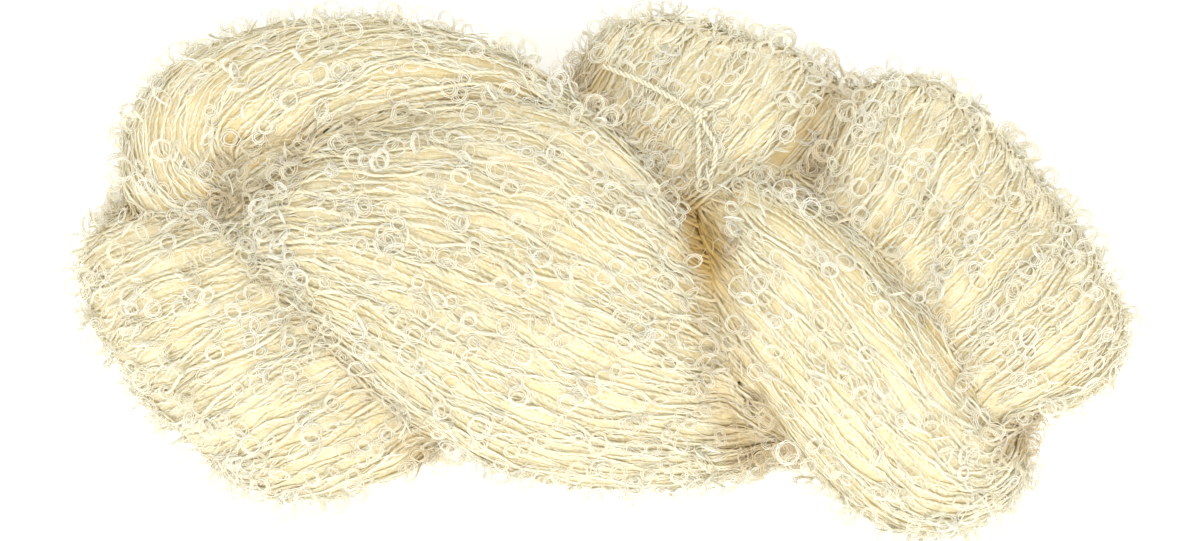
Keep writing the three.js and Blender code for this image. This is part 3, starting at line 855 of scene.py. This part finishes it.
def wound_inside():
    """The dense wound yarn behind the turns: the bodies of all bundles joined into one mesh.

    bundle_body leaves seven bodies inside out (those with a signed volume below 0), so the joined mesh has
    walls inside and faces that point inward."""
    bodies = [bundle_body(name) for name in BUNDLES]
    whole = bodies[0]
    for body in bodies[1:]:
        joined = whole.modifiers.new(body.name, "BOOLEAN")
        joined.operation = "UNION"
        joined.solver = "MANIFOLD"
        joined.object = body
    mesh = bpy.data.meshes.new_from_object(whole.evaluated_get(bpy.context.evaluated_depsgraph_get()))
    for body in bodies:
        bpy.data.objects.remove(body)
    mesh.name = "wound_inside"
    points = np.array([vertex.co for vertex in mesh.vertices])
    outs = np.array([vertex.normal for vertex in mesh.vertices])
    points, outs, free = filled(points, outs, BODY_DEPTH)
    points[:, 2] = np.maximum(points[:, 2], BODY_REST * MM)
    mesh.vertices.foreach_set("co", points.astype(np.float32).ravel())
    shade(mesh, np.full(len(points), 0.5), free)
    return placed("wound_inside", mesh)


def over_hank(spots, height):
    """Points at a height in mm over the solid, above spots in the tables' frame, and the way out there"""
    points, outs = [], []
    for x, y in (np.array(spots) - FOOTPRINT) * MM:
        spot, normal, _, _ = HANK.ray_cast(Vector((x, y, 1)), Vector((0, 0, -1)))
        points.append(spot + normal * height * MM)
        outs.append(normal)
    return np.array(points), np.array(outs)


def tie_path(spots):
    """A smooth line on the hank through a few spots, with a point for each step of the tie's plies"""
    places = np.linspace(0, len(spots) - 1, 30 * len(spots))
    line, outs = over_hank(along(np.array(spots, float), places), TIE_HEIGHT)
    reach = lengths_along(line)
    stops = np.arange(0, reach[-1], TIE_STEP * MM)
    return between(stops, reach, line), unit(between(stops, reach, outs))


def knot_path():
    """The turns of the tie's knot, round the way that its first run comes in"""
    middle, out = (rows[0] for rows in over_hank([KNOT_SPOT], KNOT_WIDE / 2))
    before = over_hank([TIE_RUNS["round_the_lobe"][-2]], KNOT_WIDE / 2)[0][0]
    axis = unit(middle - before)
    side = unit(np.cross(out, axis))
    over = np.cross(axis, side)
    turn = np.linspace(-0.5, 0.5, int(KNOT_TURNS * KNOT_STEPS_A_TURN))[:, None]
    ways = side * np.cos(2 * np.pi * KNOT_TURNS * turn) + over * np.sin(2 * np.pi * KNOT_TURNS * turn)
    return middle + (axis * turn * KNOT_LONG + ways * (KNOT_WIDE - TIE_YARN) / 2) * MM, ways


def two_plies(line, outs):
    """Two plies wound round each other along a path"""
    onward = unit(np.gradient(line, axis=0))
    side = unit(np.cross(outs, onward))
    over = np.cross(onward, side)
    plies = []
    for start in (0, np.pi):
        angle = (start + 2 * np.pi * np.arange(len(line)) * TIE_STEP / TIE_TWIST)[:, None]
        ways = side * np.cos(angle) + over * np.sin(angle)
        points = line + ways * TIE_YARN / 4 * MM
        plies.append(Line(points, ways, outs, np.full(len(line), 0.8), np.ones(len(line))))
    return plies


def colour(code):
    """Linear RGBA of an sRGB hex colour"""
    parts = [int(code[i:i + 2], 16) / 255 for i in (1, 3, 5)]
    return [c / 12.92 if c <= 0.04045 else ((c + 0.055) / 1.055) ** 2.4 for c in parts] + [1]


def node(material, kind, settings=None, **links):
    """Adds a node. settings are its properties and links are its inputs, each a value or a socket. An input
    goes by its name with _ for a space, or by i and its number."""
    made = material.node_tree.nodes.new(kind)
    for key, value in (settings or {}).items():
        setattr(made, key, value)
    for key, value in links.items():
        numbered = key[0] == "i" and key[1:].isdigit()
        socket = made.inputs[int(key[1:]) if numbered else key.replace("_", " ")]
        if isinstance(value, bpy.types.NodeSocket):
            material.node_tree.links.new(value, socket)
        else:
            socket.default_value = value
    return made


def new_material(name):
    material = bpy.data.materials.new(name)
    material.use_nodes = True
    material.node_tree.nodes.clear()
    return material


def fluff_lines(material, place, size):
    """1 on thin winding lines and 0 between them, like single curly hairs"""
    field = node(material, "ShaderNodeTexNoise", None, Vector=place, Scale=1 / (size * MM), Detail=1.0,
                 Distortion=0.8)
    middle = node(material, "ShaderNodeMath", {"operation": "SUBTRACT"}, i0=field.outputs["Fac"], i1=0.5)
    away = node(material, "ShaderNodeMath", {"operation": "ABSOLUTE"}, i0=middle.outputs[0])
    lines = node(material, "ShaderNodeMapRange", None, Value=away.outputs[0], From_Max=FLUFF_THIN,
                 To_Min=FLUFF, To_Max=0.0)
    return lines.outputs[0]


def fibre_material(name, dark, light, streak, relief=0, twist=None, through=0, contrast=STREAK_CONTRAST):
    """Mohair fibres that run along the piece's UV map.

    streak is the size of a lock of fibres along and across, in the map's own units. twist is the length
    in which two plies go once round each other, with a shaded groove between them. relief, in mm, is left
    out on what is too thin for it. through is the share of the light that goes on through thin fluff, which
    keeps it pale and soft also where it turns away from the lamp."""
    material = new_material(name)
    tint = node(material, "ShaderNodeAttribute", {"attribute_name": "tint"})
    place = node(material, "ShaderNodeUVMap", {"uv_map": "yarn"})
    size = node(material, "ShaderNodeMapping", None, Vector=place.outputs[0],
                Scale=(1 / streak[0], 1 / streak[1], 1))
    locks = node(material, "ShaderNodeTexNoise", {"noise_dimensions": "2D"}, Vector=size.outputs[0],
                 Scale=1.0, Detail=3.0, Roughness=0.65)
    streaks = node(material, "ShaderNodeMath", {"operation": "MULTIPLY_ADD"}, i0=locks.outputs["Fac"],
                   i1=contrast, i2=-contrast / 2)
    height = streaks.outputs[0]
    if twist:
        parts = node(material, "ShaderNodeSeparateXYZ", None, Vector=place.outputs[0])
        round_it = node(material, "ShaderNodeMath", {"operation": "MULTIPLY"}, i0=parts.outputs[1], i1=2.0)
        wound = node(material, "ShaderNodeMath", {"operation": "MULTIPLY_ADD"}, i0=parts.outputs[0],
                     i1=-2 / (twist * MM), i2=round_it.outputs[0])
        plies = node(material, "ShaderNodeMath", {"operation": "PINGPONG"}, i0=wound.outputs[0], i1=0.5)
        # painted shade in the groove between the plies and painted light on their rounds, and the same as a
        # bump where relief is given
        rounded = node(material, "ShaderNodeMath", {"operation": "MULTIPLY_ADD"}, i0=plies.outputs[0],
                       i1=PLY_GROOVE_RELIEF_AND_SHADE, i2=-PLY_GROOVE_RELIEF_AND_SHADE / 4)
        both = node(material, "ShaderNodeMath", {"operation": "ADD"}, i0=rounded.outputs[0], i1=height)
        height = both.outputs[0]
    level = node(material, "ShaderNodeMath", {"operation": "ADD", "use_clamp": True}, i0=height,
                 i1=tint.outputs["Fac"])
    tone = node(material, "ShaderNodeMix", {"data_type": "RGBA"}, i0=level.outputs[0], i6=colour(dark),
                i7=colour(light))
    hank_place = node(material, "ShaderNodeTexCoord").outputs["Object"]
    patches = node(material, "ShaderNodeTexNoise", None, Vector=hank_place, Scale=VEIL_PATCHES, Detail=3.0,
                   Roughness=0.6)
    veil = node(material, "ShaderNodeMapRange", None, Value=patches.outputs["Fac"], From_Min=VEIL_EDGE[0],
                From_Max=VEIL_EDGE[1], To_Max=VEIL)
    cover = veil.outputs[0]
    if relief:
        curls = [fluff_lines(material, hank_place, size) for size in FLUFF_SIZES]
        hairs = node(material, "ShaderNodeMath", {"operation": "MAXIMUM"}, i0=curls[0], i1=curls[1])
        both = node(material, "ShaderNodeMath", {"operation": "MAXIMUM"}, i0=hairs.outputs[0], i1=cover)
        cover = both.outputs[0]
    veiled = node(material, "ShaderNodeMix", {"data_type": "RGBA"}, i0=cover, i6=tone.outputs[2],
                  i7=colour(VEIL_TONE))
    # painted shade: yarn closed in by its neighbours, in creases and at the middle hole, is mixed toward a
    # darker, warmer colour
    closed_in = node(material, "ShaderNodeAttribute", {"attribute_name": "closed_in"})
    depth = node(material, "ShaderNodeMapRange", None, Value=closed_in.outputs["Fac"], From_Min=CLOSED_IN[0],
                 From_Max=CLOSED_IN[1])
    shaded = node(material, "ShaderNodeMix", {"data_type": "RGBA"}, i0=depth.outputs[0], i6=veiled.outputs[2],
                  i7=colour(PAINTED_CREASE_SHADE))
    shader = node(material, "ShaderNodeBsdfPrincipled", None, Base_Color=shaded.outputs[2],
                  Roughness=FIBRE_ROUGHNESS, Sheen_Weight=FIBRE_SHEEN, Sheen_Roughness=SHEEN_ROUGHNESS,
                  Specular_IOR_Level=FIBRE_SPECULAR)
    if relief:
        bump = node(material, "ShaderNodeBump", None, Height=height, Distance=relief * MM, Strength=1.0)
        material.node_tree.links.new(bump.outputs[0], shader.inputs["Normal"])
    surface = shader
    if through:
        lit_through = node(material, "ShaderNodeBsdfTranslucent", None, Color=shaded.outputs[2])
        surface = node(material, "ShaderNodeMixShader", None, i0=through, i1=shader.outputs[0],
                       i2=lit_through.outputs[0])
    node(material, "ShaderNodeOutputMaterial", None, Surface=surface.outputs[0])
    return material


def pale_floor_material():
    """Matt white paint, which glows a little so that the yarn's shade on it stays as faint as in the photo"""
    material = new_material("white_painted_table")
    shader = node(material, "ShaderNodeBsdfPrincipled", None, Base_Color=colour("#fdfdfd"), Roughness=0.9,
                  Emission_Color=colour("#ffffff"), Emission_Strength=FLOOR_GLOW)
    node(material, "ShaderNodeOutputMaterial", None, Surface=shader.outputs[0])
    return material


def finish_piece(piece, material, replaced):
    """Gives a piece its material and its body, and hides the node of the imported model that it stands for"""
    piece.data.materials.clear()
    piece.data.materials.append(material)
    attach(piece, "root")
    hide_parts(replaced)


def make_floor():
    bm = bmesh.new()
    bmesh.ops.create_grid(bm, x_segments=1, y_segments=1, size=FLOOR_HALF_WIDE)
    mesh = bpy.data.meshes.new("table")
    bm.to_mesh(mesh)
    bm.free()
    mesh.materials.append(pale_floor_material())
    placed("table", mesh)


def make_camera():
    """A camera straight over the hank, as in the photo, with as much of it in view"""
    data = bpy.data.cameras.new("camera")
    data.sensor_width = 36
    data.lens = data.sensor_width * (CAMERA_DISTANCE - MIDDLE_HEIGHT) / (PHOTO_WIDE * PIXEL)
    camera = placed("camera", data)
    camera.location = (*PHOTO_MIDDLE, CAMERA_DISTANCE)
    bpy.context.scene.camera = camera


def make_soft_box():
    data = bpy.data.lights.new("soft_box", "AREA")
    data.shape = "DISK"
    data.size = SOFT_BOX_WIDE
    data.energy = SOFT_BOX_POWER
    light = placed("soft_box", data)
    light.location = SOFT_BOX_SPOT
    way = Vector((0, 0, SOFT_BOX_AIM)) - light.location
    light.rotation_euler = way.to_track_quat("-Z", "Y").to_euler()


def make_studio():
    """Even light from all around, and a weak soft box in front that gives the bundles their round shape"""
    world = bpy.data.worlds.new("white_studio")
    world.use_nodes = True
    world.node_tree.nodes["Background"].inputs["Color"].default_value = colour("#ffffff")
    world.node_tree.nodes["Background"].inputs["Strength"].default_value = STUDIO_LIGHT
    bpy.context.scene.world = world
    make_soft_box()
    bpy.context.scene.view_settings.view_transform = "Standard"


make_camera()
make_floor()
make_studio()

# Undyed mohair, spun in two loose plies: soft, matt and cream, with a twist that shows as slanting grooves,
# bumped and with painted shade in them
turn_yarn = fibre_material("mohair_turns", "#ecdba6", "#fef9e0", (3 * MM, 0.2), relief=0.05,
                           twist=TWIST_LENGTH, through=0.22, contrast=1.6)
# The filaments of the rings and the loose hairs are thin, so they look paler than the plies
ring_yarn = fibre_material("mohair_rings", "#fcf4d8", "#fffef2", (4 * MM, 0.5), through=0.12)
hair_yarn = fibre_material("mohair_hairs", "#fcf4d6", "#fffef0", (4 * MM, 0.5), through=0.12)
# The tie is the same yarn, of which the rings are pulled flat
tie_yarn = fibre_material("mohair_tie", "#ece0ba", "#faf4da", (4 * MM, 0.5), through=0.1)
# Painted shade: the yarn below the outer turns, where little light gets in, is coloured a darker, warmer cream,
# in fine streaks
inside_yarn = fibre_material("wound_mohair", "#dfcb90", "#f5eac8", (7 * MM, 0.4 * MM), relief=0.15,
                             contrast=2.2)

finish_piece(wound_inside(), inside_yarn, "hank")
all_turns, all_rings = [], []
for name, bundle in BUNDLES.items():
    turns = [line for layer in LAYERS for line in laid_turns(bundle, layer)]
    if not turns:
        continue
    widths = TURN_WIDE * draw.uniform(*TURN_WIDTHS, sum(len(line.points) for line in turns))
    laid = tube_mesh("turns_" + name, turns, TURN_SIDES, widths, TURN_THICK, TURN_SOFTNESS)
    finish_piece(laid, turn_yarn, "hank")
    rings = ring_lines(turns)
    wound = tube_mesh("rings_" + name, rings, THIN_SIDES, RING_YARN, RING_YARN)
    finish_piece(wound, ring_yarn, "hank")
    all_turns += turns
    all_rings += rings
wisps = tube_mesh("loose_wisps", wisp_lines(all_turns, WISPS), THIN_SIDES, WISP_THICK, WISP_THICK)
finish_piece(wisps, hair_yarn, "hank")
for name, lines, count in (("turns", all_turns, TURN_HAIRS), ("rings", all_rings, RING_HAIRS)):
    hairs = tube_mesh("hairs_of_" + name, hair_lines(lines, count), THIN_SIDES, HAIR_THICK, HAIR_THICK)
    finish_piece(hairs, hair_yarn, "hank")

tie_paths = {name: tie_path(spots) for name, spots in TIE_RUNS.items()}
tie_lines = [ply for path in tie_paths.values() for ply in two_plies(*path)]
knot_lines = two_plies(*knot_path())
finish_piece(tube_mesh("tie_runs", tie_lines, TIE_SIDES, TIE_PLY, TIE_PLY), tie_yarn, "tie")
finish_piece(tube_mesh("tie_knot", knot_lines, TIE_SIDES, TIE_PLY, TIE_PLY), tie_yarn, "tie")
line, outs = (rows[-4:] for rows in tie_paths["curled_end"])
onward = unit(line[-1] - line[0])
axis = unit(outs[-1] - onward * outs[-1].dot(onward))
ring = ring_line(line[-1], onward, axis, outs[-1], 1, TIE_RING, RING_TURNS[1], RING_BAND[0])
end_ring = tube_mesh("tie_ring", [ring], TIE_RING_SIDES, RING_YARN, RING_YARN)
finish_piece(end_ring, ring_yarn, "tie")
